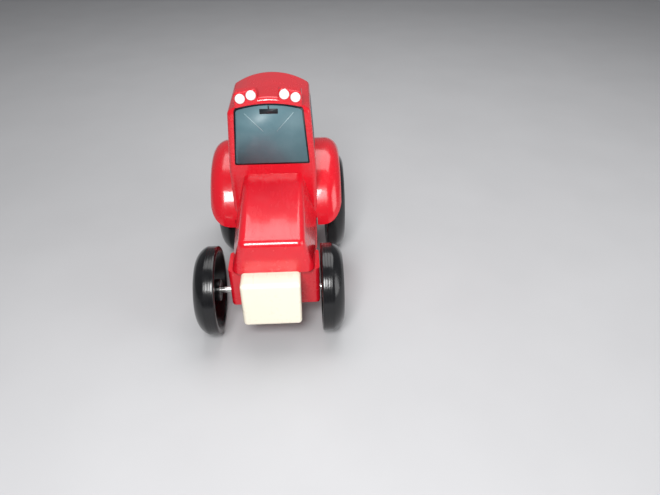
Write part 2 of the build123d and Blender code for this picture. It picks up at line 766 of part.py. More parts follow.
for side, word in ((-1, "left"), (1, "right")):
    front_inner = FRONT_SHIFT + side * TREAD_INNER
    front_wheel = wheel(side, front_inner, station(0), FRONT_AXLE_Z, FRONT_HALF)
    save(front_wheel, f"front_wheel_{word}")
    rear_inner = REAR_SHIFT + side * TREAD_INNER
    rear_wheel = wheel(side, rear_inner, REAR_AXLE_Y, REAR_AXLE_Z, REAR_HALF)
    save(rear_wheel, f"rear_wheel_{word}")

# front axle: a bare pin with a flat head at one end and a push-on cap at the other
HUB_OUTER = TREAD_INNER + TREAD + FLANK - 0.9
CAP_R = 1.9
CAP_THICK = 0.6
CAP_PLAY = 0.1

with BuildPart() as front_axle:
    bar(
        station(0),
        FRONT_AXLE_Z,
        (FRONT_SHIFT - HUB_OUTER - CAP_PLAY - CAP_THICK, FRONT_SHIFT + HUB_OUTER + CAP_PLAY),
        AXLE_R,
    )
    bar(
        station(0),
        FRONT_AXLE_Z,
        (FRONT_SHIFT + HUB_OUTER + CAP_PLAY, FRONT_SHIFT + HUB_OUTER + CAP_PLAY + CAP_THICK),
        CAP_R,
    )
save(front_axle, "front_axle")

with BuildPart() as front_axle_cap:
    bar(
        station(0),
        FRONT_AXLE_Z,
        (FRONT_SHIFT - HUB_OUTER - CAP_PLAY - CAP_THICK, FRONT_SHIFT - HUB_OUTER - CAP_PLAY),
        CAP_R,
    )
    bar(station(0), FRONT_AXLE_Z, (-30, 30), AXLE_R, mode=Mode.SUBTRACT)
save(front_axle_cap, "front_axle_cap")


# ---------------------------------------------------------------- gears and motors
def involute(angle):
    """Involute function of a pressure angle."""
    return tan(angle) - angle


def gear_outline(y, z, teeth, centre_angle):
    """Points round a spur gear about (y, z), one tooth's middle at the centre angle."""
    pitch_r = MODULE * teeth / 2
    base_r = pitch_r * cos(PRESSURE_ANGLE)
    tip_r = pitch_r + 0.8 * MODULE
    root_r = pitch_r - 1.15 * MODULE
    start_r = max(base_r, root_r)
    half_at_base = pi / (2 * teeth) - BACKLASH / (2 * pitch_r) + involute(PRESSURE_ANGLE)

    def half_width(radius):
        if radius <= base_r:
            return half_at_base - 0.5 * (base_r - radius) / base_r
        return half_at_base - involute(acos(base_r / radius))

    radii = [root_r] if root_r < base_r else []
    radii += [start_r + (tip_r - start_r) * step / 3 for step in range(4)]
    points = []
    for tooth in range(teeth):
        middle = centre_angle + 2 * pi * tooth / teeth
        points += [(r, middle - half_width(r)) for r in radii]
        points += [(r, middle + half_width(r)) for r in reversed(radii)]
    return [(y + r * cos(angle), z + r * sin(angle)) for r, angle in points]


def gear(y, z, x_span, teeth, centre_angle):
    """Spur gear between two values along X, added to the part being built."""
    with BuildSketch(side_plane(x_span[0])) as face:
        with BuildLine():
            Polyline(gear_outline(y, z, teeth, centre_angle), close=True)
        make_face()
    extrude(face.sketch, amount=x_span[1] - x_span[0])


PINION_HALF_TOOTH = pi / PINION_TEETH

for side, word in ((-1, "left"), (1, "right")):
    with BuildPart() as half_axle:
        bar(REAR_AXLE_Y, REAR_AXLE_Z, (side * 0.2, REAR_SHIFT + side * HUB_OUTER), AXLE_R)
    save(half_axle, f"half_axle_{word}")

    with BuildPart() as final_gear:
        gear(REAR_AXLE_Y, REAR_AXLE_Z, spread(side, INNER_GEARS), GEAR_TEETH, COMPOUND_ANGLE)
        bar(REAR_AXLE_Y, REAR_AXLE_Z, spread(side, (6.2, INNER_GEARS[0])), 2.2)
        bar(REAR_AXLE_Y, REAR_AXLE_Z, spread(side, (0, 30)), AXLE_R, mode=Mode.SUBTRACT)
    save(final_gear, f"final_gear_{word}")

    with BuildPart() as compound_gear:
        gear(
            COMPOUND_Y,
            COMPOUND_Z,
            spread(side, (INNER_GEARS[0] + GAP, OUTER_GEARS[0])),
            PINION_TEETH,
            COMPOUND_ANGLE + pi + PINION_HALF_TOOTH,
        )
        gear(
            COMPOUND_Y,
            COMPOUND_Z,
            spread(side, OUTER_GEARS),
            GEAR_TEETH,
            MOTOR_ANGLE,
        )
        bar(COMPOUND_Y, COMPOUND_Z, spread(side, (0, 30)), GEAR_SHAFT_R + RUN, mode=Mode.SUBTRACT)
    save(compound_gear, f"compound_gear_{word}")

    with BuildPart() as motor_pinion:
        gear(
            MOTOR_Y,
            MOTOR_Z,
            spread(side, OUTER_GEARS),
            PINION_TEETH,
            MOTOR_ANGLE + pi + PINION_HALF_TOOTH,
        )
        bar(MOTOR_Y, MOTOR_Z, spread(side, (0, 30)), MOTOR_SHAFT_R, mode=Mode.SUBTRACT)
    save(motor_pinion, f"motor_pinion_{word}")

    with BuildPart() as motor_shaft:
        bar(MOTOR_Y, MOTOR_Z, spread(side, (MOTOR_SPAN[0] + 0.8, OUTER_GEARS[1])), MOTOR_SHAFT_R)
    save(motor_shaft, f"motor_shaft_{word}")

    with BuildPart() as motor:
        bar(MOTOR_Y, MOTOR_Z, spread(side, MOTOR_SPAN), MOTOR_R)
        fillet(motor.edges().filter_by(GeomType.CIRCLE), radius=0.4)
        bar(
            MOTOR_Y,
            MOTOR_Z,
            spread(side, (MOTOR_SPAN[0] + 0.6, MOTOR_SPAN[1] + 1)),
            MOTOR_SHAFT_R + RUN,
            mode=Mode.SUBTRACT,
        )
    save(motor, f"motor_{word}")

with BuildPart() as gear_shaft:
    bar(COMPOUND_Y, COMPOUND_Z, (-11.2, 11.2), GEAR_SHAFT_R)
save(gear_shaft, "gear_shaft")

SPINE_HALF = 1.4
SPINE_FORWARD = 2.6

with BuildPart() as axle_spine:
    block(
        (-SPINE_HALF, SPINE_HALF),
        (COMPOUND_Y - SPINE_FORWARD, REAR_AXLE_Y + 3.2),
        (FLOOR_Z, COMPOUND_Z + 2.6),
    )
    fillet(axle_spine.edges().filter_by(Axis.X).group_by(Axis.Z)[-1], radius=2.0)
    block((-4.0, 4.0), (COMPOUND_Y - SPINE_FORWARD, REAR_AXLE_Y + 2.0), (FLOOR_Z, FLOOR_Z + 1.2))
    bar(REAR_AXLE_Y, REAR_AXLE_Z, (-5, 5), AXLE_R + RUN, mode=Mode.SUBTRACT)
    bar(COMPOUND_Y, COMPOUND_Z, (-5, 5), GEAR_SHAFT_R, mode=Mode.SUBTRACT)
save(axle_spine, "axle_spine")

CRADLE_HALF = 8.4
CLAMP_HALF = 6.0
CLAMP_THICK = 1.0

with BuildPart() as motor_cradle:
    block(
        (-CRADLE_HALF, CRADLE_HALF),
        (MOTOR_Y - 3.9, MOTOR_Y + 3.5),
        (FLOOR_Z, MOTOR_Z - 0.6),
    )
    bar(MOTOR_Y, MOTOR_Z, (-20, 20), MOTOR_R + 0.02, mode=Mode.SUBTRACT)
save(motor_cradle, "motor_cradle")

with BuildPart() as motor_clamp:
    bar(MOTOR_Y, MOTOR_Z, (-CLAMP_HALF, CLAMP_HALF), MOTOR_R + CLAMP_THICK)
    bar(MOTOR_Y, MOTOR_Z, (-20, 20), MOTOR_R + 0.02, mode=Mode.SUBTRACT)
    block((-20, 20), (-60, 60), (0, MOTOR_Z - 0.6), mode=Mode.SUBTRACT)
save(motor_clamp, "motor_clamp")

# ---------------------------------------------------------------- cells, board and switch
CELL_COUNT = 3
CELLS_LEFT = -CELL_COUNT * CELL_THICK / 2

for number in range(1, CELL_COUNT + 1):
    start = CELLS_LEFT + (number - 1) * CELL_THICK
    with BuildPart() as button_cell:
        bar(station(CELL_Y), CELL_Z, (start, start + CELL_THICK - 0.8), CELL_R)
        fillet(button_cell.edges().filter_by(GeomType.CIRCLE), radius=0.4)
        bar(station(CELL_Y), CELL_Z, (start + CELL_THICK - 0.8, start + CELL_THICK), CELL_R - 1.0)
    save(button_cell, f"button_cell_{number}")

CONTACT = (0.25, 4.0, 8.0)      # thickness, half width along the tractor, height
for side, word in ((-1, "left"), (1, "right")):
    inner = side * CELL_COUNT * CELL_THICK / 2
    with BuildPart() as battery_contact:
        block(
            (inner, inner + side * CONTACT[0]),
            (station(CELL_Y) - CONTACT[1], station(CELL_Y) + CONTACT[1]),
            (CELL_Z - CONTACT[2] / 2, SPLIT_Z - GAP),
        )
    save(battery_contact, f"battery_contact_{word}")

with BuildPart() as control_board:
    block(
        (-BOARD_HALF, BOARD_HALF),
        (station(BOARD_SPAN[0]), station(BOARD_SPAN[1])),
        (BOARD_BOTTOM_Z, BOARD_BOTTOM_Z + BOARD_THICK),
    )
    for x, distance in BOARD_POSTS:
        post(x, station(distance), (BOARD_BOTTOM_Z, BOARD_BOTTOM_Z + BOARD_THICK), 0.6, mode=Mode.SUBTRACT)
save(control_board, "control_board")

with BuildPart() as board_screws:
    for x, distance in BOARD_POSTS:
        post(x, station(distance), (BOARD_BOTTOM_Z - 0.6, BOARD_BOTTOM_Z), 1.1)
        post(x, station(distance), (BOARD_BOTTOM_Z, BOARD_BOTTOM_Z + 4.0), 0.5)
save(board_screws, "board_screws")

BOARD_TOP_Z = BOARD_BOTTOM_Z + BOARD_THICK
CHIPS = (
    ("controller_chip", (-2.5, 2.5), (11.0, 16.0), 1.6),
    ("driver_chip", (-6.5, -3.5), (15.2, 19.2), 1.5),
)
for name, x_span, stations, height in CHIPS:
    with BuildPart() as chip:
        block(
            x_span,
            (station(stations[0]), station(stations[1])),
            (BOARD_TOP_Z, BOARD_TOP_Z + height),
        )
        chamfer(chip.edges().group_by(Axis.Z)[-1], length=0.2)
    save(chip, name)

with BuildPart() as board_capacitor:
    post(5.2, station(11.5), (BOARD_TOP_Z, BOARD_TOP_Z + 5.4), 2.0)
    fillet(board_capacitor.edges().group_by(Axis.Z)[-1], radius=0.4)
save(board_capacitor, "board_capacitor")

SWITCH_BODY = (8.6, 3.6, 3.2)
KNOB_REST_X = -KNOB_TRAVEL / 2

with BuildPart() as power_switch:
    with Locations((0, station(SWITCH_STATION), FLOOR_Z + SWITCH_BODY[2] / 2)):
        Box(*SWITCH_BODY)
    block(
        (-SWITCH_SLOT[0] / 2, SWITCH_SLOT[0] / 2),
        (station(SWITCH_STATION) - SWITCH_SLOT[1] / 2, station(SWITCH_STATION) + SWITCH_SLOT[1] / 2),
        (FLOOR_Z - 1, FLOOR_Z + 1.2),
        mode=Mode.SUBTRACT,
    )
save(power_switch, "power_switch")

with BuildPart() as power_switch_knob:
    with Locations((KNOB_REST_X, station(SWITCH_STATION), (CHASSIS_BOTTOM - KNOB_BELOW + FLOOR_Z + 1.0) / 2)):
        Box(KNOB[0], KNOB[1], FLOOR_Z + 1.0 - CHASSIS_BOTTOM + KNOB_BELOW)
    fillet(power_switch_knob.edges().group_by(Axis.Z)[0], radius=0.25)
save(power_switch_knob, "power_switch_knob")
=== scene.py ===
"""Looks of the line-following toy tractor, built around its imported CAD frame.

Lengths in the code are millimetres and pass through mm() where Blender wants metres.
The nose points along -Y, the axles run along X and the ground is Z = 0.
"""

import json
import math

import bmesh
import bpy
from mathutils import Matrix, Vector


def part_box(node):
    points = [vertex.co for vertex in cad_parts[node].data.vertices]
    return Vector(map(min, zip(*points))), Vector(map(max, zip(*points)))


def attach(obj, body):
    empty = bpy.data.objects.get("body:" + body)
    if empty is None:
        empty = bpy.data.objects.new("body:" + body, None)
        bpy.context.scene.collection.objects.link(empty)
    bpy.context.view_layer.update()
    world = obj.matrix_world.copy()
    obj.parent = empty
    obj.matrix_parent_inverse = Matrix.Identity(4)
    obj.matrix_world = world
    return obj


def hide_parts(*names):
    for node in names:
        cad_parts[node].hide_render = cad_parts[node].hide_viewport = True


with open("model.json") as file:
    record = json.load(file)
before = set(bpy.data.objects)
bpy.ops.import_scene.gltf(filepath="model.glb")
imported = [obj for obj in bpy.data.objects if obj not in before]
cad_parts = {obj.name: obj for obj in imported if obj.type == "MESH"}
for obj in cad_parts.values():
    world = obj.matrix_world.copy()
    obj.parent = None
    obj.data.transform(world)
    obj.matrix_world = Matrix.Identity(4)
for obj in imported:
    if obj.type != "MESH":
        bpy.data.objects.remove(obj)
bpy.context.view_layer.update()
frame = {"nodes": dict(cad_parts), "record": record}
SIDES = ((-1, "left"), (1, "right"))


# ---------------------------------------------------------------- places from the frame
def mm(value):
    """Millimetres to Blender's metres."""
    return value * 0.001


def node_box(node):
    """Lowest and highest corner of a CAD node, in millimetres."""
    low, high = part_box(node)
    return [1000 * v for v in low], [1000 * v for v in high]


def middle(node):
    """Middle of a CAD node's box, in millimetres."""
    low, high = node_box(node)
    return [(a + b) / 2 for a, b in zip(low, high)]


FRONT_AXLE_Y = middle("front_axle")[1]
SCREEN_BACK_Y = node_box("windscreen")[1][1]

# ---------------------------------------------------------------- camera
CAMERA_PLACE = (10.12, FRONT_AXLE_Y - 121.44, 115.83)
CAMERA_PITCH = math.radians(36.12)
CAMERA_YAW = math.radians(2.75)
CAMERA_ROLL = math.radians(0.32)
CAMERA_LENS = 29.1
CAMERA_SENSOR = 36
CAMERA_NEAR = 5


def make_camera():
    """Camera where the photograph was taken from."""
    heading = Vector((math.sin(CAMERA_YAW), math.cos(CAMERA_YAW), 0))
    forward = heading * math.cos(CAMERA_PITCH) - Vector((0, 0, math.sin(CAMERA_PITCH)))
    level_right = Vector((math.cos(CAMERA_YAW), -math.sin(CAMERA_YAW), 0))
    level_down = forward.cross(level_right)
    right = level_right * math.cos(CAMERA_ROLL) + level_down * math.sin(CAMERA_ROLL)
    down = forward.cross(right)
    turn = Matrix((right, -down, -forward)).transposed().to_4x4()
    data = bpy.data.cameras.new("camera")
    data.sensor_width = CAMERA_SENSOR
    data.lens = CAMERA_LENS
    data.clip_start = mm(CAMERA_NEAR)
    camera = bpy.data.objects.new("camera", data)
    place = Vector([mm(v) for v in CAMERA_PLACE])
    camera.matrix_world = Matrix.Translation(place) @ turn
    bpy.context.collection.objects.link(camera)
    bpy.context.scene.camera = camera


# ---------------------------------------------------------------- node helpers
def new_material(name):
    """Empty node material with its shader: (material, nodes, links, shader)."""
    material = bpy.data.materials.new(name)
    material.use_nodes = True
    nodes = material.node_tree.nodes
    links = material.node_tree.links
    nodes.clear()
    output = nodes.new("ShaderNodeOutputMaterial")
    shader = nodes.new("ShaderNodeBsdfPrincipled")
    links.new(shader.outputs["BSDF"], output.inputs["Surface"])
    return material, nodes, links, shader


def set_inputs(node, **values):
    """Sets input sockets by name, with spaces written as underscores."""
    for key, value in values.items():
        node.inputs[key.replace("_", " ")].default_value = value


def coordinates(nodes):
    """Object coordinates of the surface."""
    return nodes.new("ShaderNodeTexCoord").outputs["Object"]


def noise(nodes, links, vector, scale, detail=3.0, roughness=0.5, stretch=None):
    """Noise value over a vector; scale is in features per metre."""
    texture = nodes.new("ShaderNodeTexNoise")
    set_inputs(texture, Scale=scale, Detail=detail, Roughness=roughness)
    if stretch:
        mapping = nodes.new("ShaderNodeMapping")
        mapping.inputs["Scale"].default_value = stretch
        links.new(vector, mapping.inputs["Vector"])
        vector = mapping.outputs["Vector"]
    links.new(vector, texture.inputs["Vector"])
    return texture.outputs["Fac"]


def ramp(nodes, links, value, stops):
    """Colour ramp over a value; stops are (position, colour)."""
    node = nodes.new("ShaderNodeValToRGB")
    elements = node.color_ramp.elements
    while len(elements) < len(stops):
        elements.new(0.5)
    for element, (position, colour) in zip(elements, stops):
        element.position = position
        element.color = (*colour, 1)
    links.new(value, node.inputs["Fac"])
    return node.outputs["Color"]


def spread(nodes, links, value, low, high, start=0.0, end=1.0):
    """Maps a value from start..end to low..high."""
    node = nodes.new("ShaderNodeMapRange")
    set_inputs(node, From_Min=start, From_Max=end, To_Min=low, To_Max=high)
    links.new(value, node.inputs["Value"])
    return node.outputs["Result"]


def product(nodes, links, first, second):
    """Product of two values."""
    node = nodes.new("ShaderNodeMath")
    node.operation = "MULTIPLY"
    links.new(first, node.inputs[0])
    links.new(second, node.inputs[1])
    return node.outputs[0]


def bump(nodes, links, height, distance, strength, under=None):
    """Bump normal from a height; distance is in millimetres."""
    node = nodes.new("ShaderNodeBump")
    set_inputs(node, Strength=strength, Distance=mm(distance))
    links.new(height, node.inputs["Height"])
    if under:
        links.new(under, node.inputs["Normal"])
    return node.outputs["Normal"]


def shade(colour, factor):
    """A colour made lighter or darker."""
    return tuple(min(1.0, channel * factor) for channel in colour)


# ---------------------------------------------------------------- materials
def moulded_plastic(name, colour, roughness=0.22, coat=0.5, flow=0.05, grain=0.02):
    """Gloss moulded plastic: faint flow clouds, orange peel and rubbed patches."""
    material, nodes, links, shader = new_material(name)
    vector = coordinates(nodes)
    clouds = noise(nodes, links, vector, scale=70, detail=2)
    tints = [(0.3, shade(colour, 1 - flow)), (0.7, shade(colour, 1 + flow))]
    tint = ramp(nodes, links, clouds, tints)
    links.new(tint, shader.inputs["Base Color"])
    scuffs = noise(nodes, links, vector, scale=190, detail=4, roughness=0.6)
    rubs = noise(nodes, links, vector, scale=900, detail=2, stretch=(1.0, 0.15, 1.0))
    worn = product(nodes, links, scuffs, rubs)
    smoothest = roughness * 0.85
    roughest = roughness * 1.5
    rough = spread(nodes, links, worn, low=smoothest, high=roughest, start=0.15, end=0.4)
    links.new(rough, shader.inputs["Roughness"])
    set_inputs(shader, IOR=1.5, Coat_Weight=coat, Coat_Roughness=0.05, Coat_IOR=1.5)
    peel = noise(nodes, links, vector, scale=330, detail=1)
    normal = bump(nodes, links, peel, distance=grain, strength=0.4)
    links.new(normal, shader.inputs["Normal"])
    links.new(normal, shader.inputs["Coat Normal"])
    return material


def turned_section(nodes, links, vector, axle_y, axle_z):
    """Place along an axle and distance from it, the same all the way round a wheel."""
    centred = nodes.new("ShaderNodeVectorMath")
    centred.operation = "SUBTRACT"
    centred.inputs[1].default_value = (0, mm(axle_y), mm(axle_z))
    links.new(vector, centred.inputs[0])
    split = nodes.new("ShaderNodeSeparateXYZ")
    links.new(centred.outputs[0], split.inputs[0])
    flat = nodes.new("ShaderNodeCombineXYZ")
    links.new(split.outputs["Y"], flat.inputs["Y"])
    links.new(split.outputs["Z"], flat.inputs["Z"])
    radius = nodes.new("ShaderNodeVectorMath")
    radius.operation = "LENGTH"
    links.new(flat.outputs[0], radius.inputs[0])
    section = nodes.new("ShaderNodeCombineXYZ")
    links.new(split.outputs["X"], section.inputs["X"])
    links.new(radius.outputs["Value"], section.inputs["Y"])
    return section.outputs[0]


WHEEL_TINTS = (
    (0.35, (0.004, 0.004, 0.005)),
    (0.62, (0.006, 0.006, 0.007)),
    (0.8, (0.012, 0.012, 0.013)),
)


def wheel_plastic(name, axle_y, axle_z):
    """Black gloss plastic with fine turning rings about the axle and greyish rubbed patches."""
    material, nodes, links, shader = new_material(name)
    vector = coordinates(nodes)
    section = turned_section(nodes, links, vector, axle_y, axle_z)
    rings = noise(nodes, links, section, scale=2600, detail=2)
    patches = noise(nodes, links, vector, scale=240, detail=5, roughness=0.65)
    links.new(ramp(nodes, links, patches, WHEEL_TINTS), shader.inputs["Base Color"])
    rough = spread(nodes, links, patches, low=0.14, high=0.3, start=0.3, end=0.75)
    links.new(rough, shader.inputs["Roughness"])
    set_inputs(shader, IOR=1.45, Coat_Weight=0.15, Coat_Roughness=0.1)
    normal = bump(nodes, links, rings, distance=0.006, strength=0.5)
    dents = noise(nodes, links, vector, scale=500, detail=2)
    normal = bump(nodes, links, dents, distance=0.01, strength=0.3, under=normal)
    links.new(normal, shader.inputs["Normal"])
    return material


def metal(name, colour, roughness):
    """Bare metal with streaks along the axles and a few dull spots."""
    material, nodes, links, shader = new_material(name)
    vector = coordinates(nodes)
    lines = noise(nodes, links, vector, scale=4200, detail=3, stretch=(0.05, 1.0, 1.0))
    spots = noise(nodes, links, vector, scale=500, detail=5, roughness=0.7)
    tint = ramp(nodes, links, spots, [(0.35, shade(colour, 0.82)), (0.65, shade(colour, 1.08))])
    links.new(tint, shader.inputs["Base Color"])
    smoothest = roughness * 0.6
    roughest = roughness * 1.6
    rough = spread(nodes, links, lines, low=smoothest, high=roughest, start=0.3, end=0.7)
    links.new(rough, shader.inputs["Roughness"])
    set_inputs(shader, Metallic=1.0)
    normal = bump(nodes, links, lines, distance=0.002, strength=0.2)
    links.new(normal, shader.inputs["Normal"])
    return material


def board_green(name):
    """Circuit board: green solder mask over faint copper tracks."""
    material, nodes, links, shader = new_material(name)
    vector = coordinates(nodes)
    brick = nodes.new("ShaderNodeTexBrick")
    set_inputs(brick, Scale=420.0, Mortar_Size=0.06, Brick_Width=1.4, Row_Height=0.5)
    set_inputs(
        brick,
        Color1=(0.012, 0.11, 0.045, 1),
        Color2=(0.018, 0.15, 0.06, 1),
        Mortar=(0.045, 0.24, 0.09, 1),
    )
    links.new(vector, brick.inputs["Vector"])
    links.new(brick.outputs["Color"], shader.inputs["Base Color"])
    mottle = noise(nodes, links, vector, scale=600)
    links.new(spread(nodes, links, mottle, low=0.25, high=0.45), shader.inputs["Roughness"])
    normal = bump(nodes, links, brick.outputs["Fac"], distance=0.02, strength=0.4)
    links.new(normal, shader.inputs["Normal"])
    return material


def clear_epoxy(name, colour):
    """Clear tinted resin of the infrared emitters."""
    material, nodes, links, shader = new_material(name)
    vector = coordinates(nodes)
    clouds = noise(nodes, links, vector, scale=700, detail=2)
    tint = ramp(nodes, links, clouds, [(0.3, shade(colour, 0.9)), (0.7, colour)])
    links.new(tint, shader.inputs["Base Color"])
    grain = noise(nodes, links, vector, scale=3000)
    links.new(spread(nodes, links, grain, low=0.05, high=0.14), shader.inputs["Roughness"])
    set_inputs(shader, Transmission_Weight=0.35, IOR=1.5)
    return material


def printed(name, colours, roughness=0.16, scale=260):
    """Glossy printed ink: slight cloudiness and a fine dot grain."""
    material, nodes, links, shader = new_material(name)
    vector = coordinates(nodes)
    clouds = noise(nodes, links, vector, scale=scale, detail=4, roughness=0.6)
    tint = ramp(nodes, links, clouds, [(0.3, colours[0]), (0.7, colours[1])])
    links.new(tint, shader.inputs["Base Color"])
    dots = nodes.new("ShaderNodeTexVoronoi")
    set_inputs(dots, Scale=9000.0)
    links.new(vector, dots.inputs["Vector"])
    dot = dots.outputs["Distance"]
    rough = spread(nodes, links, dot, low=roughness, high=roughness * 1.6)
    links.new(rough, shader.inputs["Roughness"])
    set_inputs(shader, IOR=1.5, Coat_Weight=0.1, Coat_Roughness=0.25)
    normal = bump(nodes, links, dot, distance=0.002, strength=0.3)
    links.new(normal, shader.inputs["Normal"])
    return material


RED = (0.68, 0.006, 0.018)
IVORY = (0.93, 0.86, 0.70)
WHITE = (0.80, 0.79, 0.75)
BRIGHT_WHITE = (0.88, 0.88, 0.86)
BLACK = (0.012, 0.012, 0.013)
DARK_RED = (0.03, 0.006, 0.01)
DARK_BLUE = (0.02, 0.03, 0.08)
STEEL_GREY = (0.62, 0.61, 0.60)
ZINC_GREY = (0.60, 0.60, 0.57)
NICKEL_GREY = (0.66, 0.65, 0.61)
BRASS_YELLOW = (0.70, 0.48, 0.18)
RESIN = (0.80, 0.84, 0.90)
PANE_BLUES = ((0.085, 0.17, 0.20), (0.105, 0.195, 0.225))
OUTLINE_BLACKS = ((0.004, 0.006, 0.01), (0.009, 0.012, 0.018))
MIRROR_BLACKS = ((0.008, 0.013, 0.017), (0.014, 0.02, 0.025))
# lighter blue of the two windscreen lines: painted glare, a painted reflection on the pane
GLARE_LINE_BLUES = ((0.30, 0.42, 0.45), (0.36, 0.48, 0.51))

RED_PLASTIC = moulded_plastic("red_plastic", RED)
IVORY_PLASTIC = moulded_plastic("ivory_plastic", IVORY, roughness=0.3, coat=0.3, flow=0.02, grain=0.006)
ACETAL = moulded_plastic("white_acetal", WHITE, roughness=0.4, coat=0.0, flow=0.02)
BLACK_PART = moulded_plastic("black_part", BLACK, roughness=0.45, coat=0.0)
DARK_LENS = moulded_plastic("dark_lens", DARK_RED, roughness=0.1, coat=0.8)
SLEEVE = moulded_plastic("capacitor_sleeve", DARK_BLUE, roughness=0.25)
LAMP_WHITE = moulded_plastic("lamp_white", BRIGHT_WHITE, roughness=0.12, coat=0.8, flow=0.01)
STEEL = metal("polished_steel", STEEL_GREY, roughness=0.18)
PLATED = metal("plated_steel", ZINC_GREY, roughness=0.32)
NICKEL = metal("nickel_can", NICKEL_GREY, roughness=0.28)
BRASS = metal("brass_pinion", BRASS_YELLOW, roughness=0.25)
BOARD = board_green("green_board")
EPOXY = clear_epoxy("clear_epoxy", RESIN)
PANE_INK = printed("pane_ink", PANE_BLUES, roughness=0.36)
OUTLINE_INK = printed("outline_ink", OUTLINE_BLACKS, scale=700)
MIRROR_INK = printed("mirror_ink", MIRROR_BLACKS, roughness=0.4, scale=500)
# material of the two windscreen lines, which are painted glare (a painted reflection)
GLARE_LINE_INK = printed("painted_glare_lines", GLARE_LINE_BLUES, scale=500)

SLOT_MATERIALS = {
    "red_body": RED_PLASTIC,
    "ivory_block": IVORY_PLASTIC,
    "polished_steel": STEEL,
    "white_acetal": ACETAL,
    "black_part": BLACK_PART,
    "dark_lens": DARK_LENS,
    "capacitor_sleeve": SLEEVE,
    "white_lamp": LAMP_WHITE,
    "plated_steel": PLATED,
    "nickel_can": NICKEL,
    "brass_pinion": BRASS,
    "green_board": BOARD,
    "clear_led": EPOXY,
    "black_wheel": BLACK_PART,
    "printed_window": PANE_INK,
}


def dress_nodes():
    """Gives every CAD node the material of its slot."""
    slots = {part["node"]: part["material_slot"] for part in frame["record"]["subparts"]}
    for name, node in frame["nodes"].items():
        material = SLOT_MATERIALS[slots[name]]
        if not node.material_slots:
            node.data.materials.append(material)
        for holder in node.material_slots:
            holder.material = material


# ---------------------------------------------------------------- mesh helpers
def finish_piece(mesh, name, body, material, replaced=()):
    """Links a mesh as a piece that rides on a body and stands for CAD nodes."""
    data = bpy.data.meshes.new(name)
    mesh.to_mesh(data)
    mesh.free()
    data.materials.append(material)
    for polygon in data.polygons:
        polygon.use_smooth = True
    piece = bpy.data.objects.new(name, data)
    bpy.context.collection.objects.link(piece)
    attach(piece, body)
    if replaced:
        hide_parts(*replaced)
    return piece


def rounded(points, radii, steps=4):
    """Outline whose corners are turned into arcs; a radius of 0 keeps a corner."""
    result = []
    count = len(points)
    for index, (corner, radius) in enumerate(zip(points, radii)):
        here = Vector(corner)
        if radius == 0:
            result.append(tuple(here))
            continue
        before = (Vector(points[index - 1]) - here).normalized()
        after = (Vector(points[(index + 1) % count]) - here).normalized()
        half = before.angle(after) / 2
        reach = radius / math.tan(half)
        centre = here + (before + after).normalized() * (radius / math.sin(half))
        start = here + before * reach - centre
        end = here + after * reach - centre
        sweep = start.angle_signed(end)
        for step in range(steps + 1):
            turn = Matrix.Rotation(-sweep * step / steps, 2)
            result.append(tuple(centre + turn @ start))
    return result


def lathe(profile, axle, side, segments=144):
    """Closed profile of (x outwards, radius) points turned about an axle along X."""
    mesh = bmesh.new()
    x0, y0, z0 = axle
    rings = []
    for step in range(segments):
        angle = 2 * math.pi * step / segments
        ring = [
            mesh.verts.new(
                (mm(x0 + side * x), mm(y0 + r * math.cos(angle)), mm(z0 + r * math.sin(angle)))
            )
            for x, r in profile
        ]
        rings.append(ring)
    count = len(profile)
    for step in range(segments):
        ring = rings[step]
        following = rings[(step + 1) % segments]
        for index in range(count):
            after = (index + 1) % count
            mesh.faces.new((ring[index], ring[after], following[after], following[index]))
    bmesh.ops.recalc_face_normals(mesh, faces=mesh.faces)
    return mesh


# ---------------------------------------------------------------- wheels
# x runs outwards from the wheel's back; radii are from the axle
WHEEL_TREAD = 3.2              # width of the straight tread
WHEEL_FLANK = 3.0              # width of the bevelled flank, and its drop in radius
WHEEL_FACE_X = WHEEL_TREAD + WHEEL_FLANK
WHEEL_BORE = 1.05
FLANK_BULGE = 0.3              # how far the flank swells out, along X and radially
FLANK_STEPS = 12
GROOVES = 3
GROOVE_START = 0.6             # tread left plain at the back
GROOVE_END = 0.3               # tread left plain beside the flank
GROOVE_HALF = 0.08
GROOVE_DEPTH = 0.025
BACK_HUB = 3.2                 # radius of the hub at the back
POCKET_DEPTH = WHEEL_TREAD + 0.6
POCKET_WALL = 1.2              # from the rim of the face in to the pocket's floor
BACK_RING = 1.5                # width of the flat ring at the back edge
BACK_CHAMFER = 0.5             # chamfer inside that ring, along X and radially
LIP_WIDTH = 0.9                # flat ring round the dished face
DISH_DEPTH = 1.3
DISH_WALL = 1.6                # from the rim of the face in to the dish's floor
HUB_FOOT = 3.7                 # radius of the outer hub at the dish's floor
HUB_TOP = 3.1                  # radius of the outer hub at its top
HUB_SINK = 0.5                 # hub's top below the face
RECESS_RADIUS = 2.2
RECESS_DEPTH = 0.9             # recess round the pin, below the face


def back_corners(radius):
    """Hub, pocket, chamfer and edge of the back, as (x, radius, rounding) corners."""
    pocket_radius = radius - WHEEL_FLANK - POCKET_WALL
    return [
        (0.0, WHEEL_BORE, 0.0),
        (0.0, BACK_HUB, 0.25),
        (POCKET_DEPTH, BACK_HUB, 0.5),
        (POCKET_DEPTH, pocket_radius, 0.8),
        (BACK_CHAMFER, radius - BACK_RING - BACK_CHAMFER, 0.2),
        (0.0, radius - BACK_RING, 0.2),
        (0.0, radius, 0.45),
    ]


def tread_corners(radius):
    """Fine grooves in the tread, up to its outer edge."""
    pitch = (WHEEL_TREAD - GROOVE_START - GROOVE_END) / GROOVES
    corners = []
    for number in range(GROOVES):
        x = GROOVE_START + pitch * (number + 0.5)
        corners += [
            (x - GROOVE_HALF, radius, 0.02),
            (x - GROOVE_HALF / 3, radius - GROOVE_DEPTH, 0.01),
            (x + GROOVE_HALF / 3, radius - GROOVE_DEPTH, 0.01),
            (x + GROOVE_HALF, radius, 0.02),
        ]
    corners.append((WHEEL_TREAD, radius, 0.0))
    return corners


